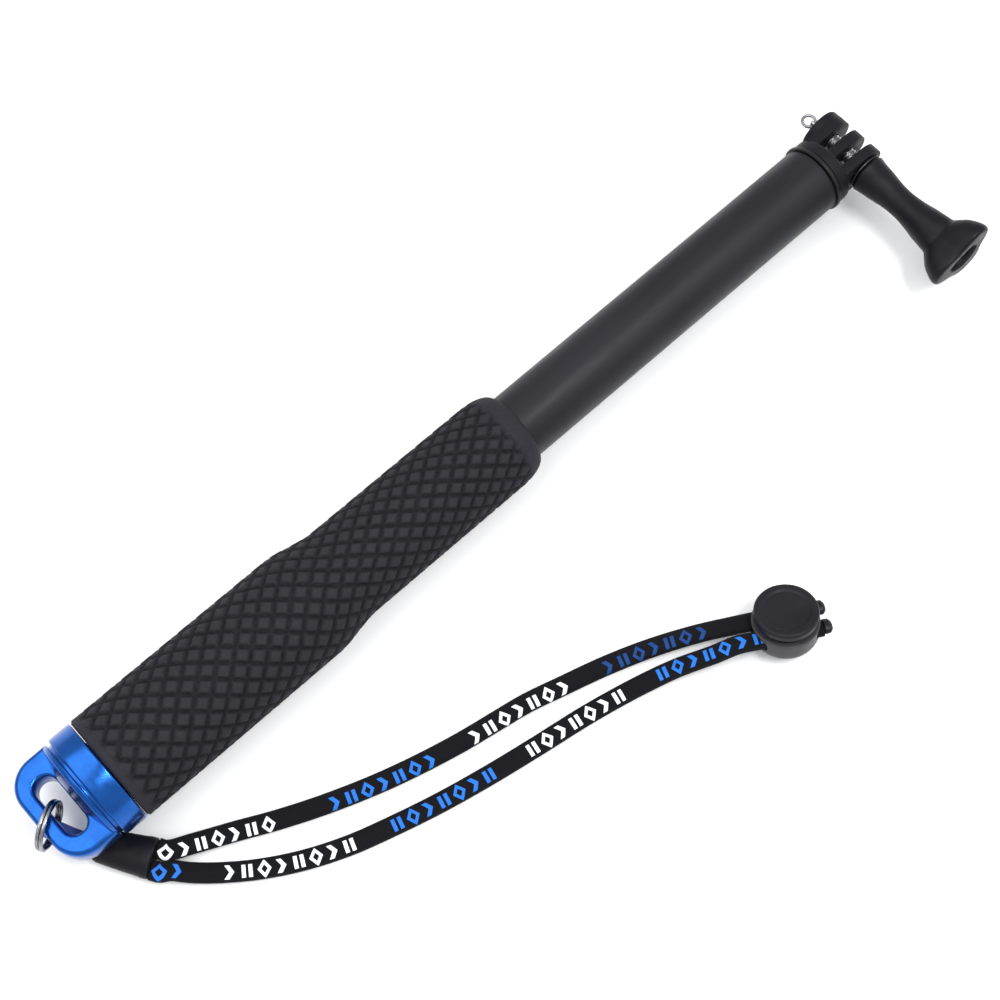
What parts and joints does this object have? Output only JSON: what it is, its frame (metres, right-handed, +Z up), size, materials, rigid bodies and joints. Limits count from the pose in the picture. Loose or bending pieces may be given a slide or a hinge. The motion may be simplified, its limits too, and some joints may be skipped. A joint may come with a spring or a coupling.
{
  "type": "telescopic selfie stick",
  "caption": "Collapsed telescopic hand pole with a pronged camera fitting and thumbscrew, a knurled rubber grip, a blue end loop and a wrist strap with a cord lock.",
  "frame": {"origin": "centre of the bottom of the pole's bounding box, without the wrist strap", "axes": "+X along the pole to its camera fitting, +Y away from the thumb knob, +Z up from the surface it lies on"},
  "size_m": [0.2916, 0.1094, 0.03],
  "materials": {
    "grip_rubber": "matt, knurled",
    "blue_aluminium": "blue anodised, satin",
    "black_tube": "black, satin",
    "black_plastic": "matt black",
    "mount_plastic": "fine-grained matt black",
    "ferrule_plastic": "matt black",
    "lock_plastic": "satin dark grey",
    "nylon": "natural nylon",
    "steel": "plated",
    "strap_black": "woven, black with printed marks",
    "strap_blue": "woven, light blue"
  },
  "bodies": {
    "handle": {"grip_sleeve": "grip_rubber", "end_cap": "blue_aluminium", "cap_stud": "steel", "tail_plug": "nylon", "outer_tube": "black_tube", "mouth_bushing_1": "black_plastic"},
    "expander_2": {"collet_2": "nylon"},
    "section_2": {"cone_plug_2": "black_plastic", "tube_2": "black_tube", "mouth_bushing_2": "black_plastic"},
    "expander_3": {"collet_3": "nylon"},
    "section_3": {"cone_plug_3": "black_plastic", "tube_3": "black_tube", "mouth_bushing_3": "black_plastic"},
    "expander_4": {"collet_4": "nylon"},
    "section_4": {"cone_plug_4": "black_plastic", "tube_4": "black_tube", "camera_mount": "mount_plastic", "mount_pin": "steel", "lock_nut": "steel"},
    "washer": {"thrust_washer": "steel"},
    "thumbscrew": {"thumb_knob": "mount_plastic", "clamp_screw": "steel"},
    "tether": {"tether_ring": "steel"},
    "strap": {"split_ring": "steel", "strap_bight": "strap_blue", "ferrule": "ferrule_plastic", "strand_upper": "strap_black", "strand_lower": "strap_black", "strand_tip_upper": "black_plastic", "strand_tip_lower": "black_plastic"},
    "cord_lock": {"cord_lock_body": "lock_plastic", "cord_lock_spring": "steel"},
    "lock_button": {"cord_lock_button": "lock_plastic"}
  },
  "joints": [
    {"name": "extend_2", "type": "slide", "parent": "handle", "child": "expander_2", "axis": [1, 0, 0], "range_m": [0, 0.217]},
    {"name": "twist_2", "type": "hinge", "parent": "expander_2", "child": "section_2", "pos_m": [0.07944, 0.0147, 0.015], "axis": [1, 0, 0], "range_deg": [0, 180]},
    {"name": "extend_3", "type": "slide", "parent": "section_2", "child": "expander_3", "axis": [1, 0, 0], "range_m": [0, 0.1995]},
    {"name": "twist_3", "type": "hinge", "parent": "expander_3", "child": "section_3", "pos_m": [0.07944, 0.0147, 0.015], "axis": [1, 0, 0], "range_deg": [0, 180]},
    {"name": "extend_4", "type": "slide", "parent": "section_3", "child": "expander_4", "axis": [1, 0, 0], "range_m": [0, 0.182]},
    {"name": "twist_4", "type": "hinge", "parent": "expander_4", "child": "section_4", "pos_m": [0.07944, 0.0147, 0.015], "axis": [1, 0, 0], "range_deg": [0, 180]},
    {"name": "screw_travel", "type": "slide", "parent": "section_4", "child": "washer", "axis": [0, -1, 0], "range_m": [0, 0.0016]},
    {"name": "screw_turn", "type": "hinge", "parent": "washer", "child": "thumbscrew", "pos_m": [0.13754, 0.0057, 0.015], "axis": [0, -1, 0], "range_deg": [0, 720.1]},
    {"name": "tether_swing", "type": "hinge", "parent": "thumbscrew", "child": "tether", "pos_m": [0.13754, 0.0264, 0.015], "axis": [1, 0, 0], "range_deg": [-40, 40]},
    {"name": "strap_swing", "type": "hinge", "parent": "handle", "child": "strap", "pos_m": [-0.13986, 0.0137, 0.015], "axis": [0, 0, 1], "range_deg": [-35, 0]},
    {"name": "cord_lock_slide", "type": "slide", "parent": "strap", "child": "cord_lock", "axis": [-0.866, 0.5, 0], "range_m": [0, 0.004]},
    {"name": "cord_lock_press", "type": "slide", "parent": "cord_lock", "child": "lock_button", "axis": [-0.1545, -0.2676, -0.9511], "range_m": [0, 0.0018], "stiffness_N_per_m": 2000, "springref_m": -0.002, "deforming": ["cord_lock_spring"]}
  ],
  "couplings": [
    {"joint": "screw_turn", "follows": "screw_travel", "rad_per_m": 7854}
  ]
}
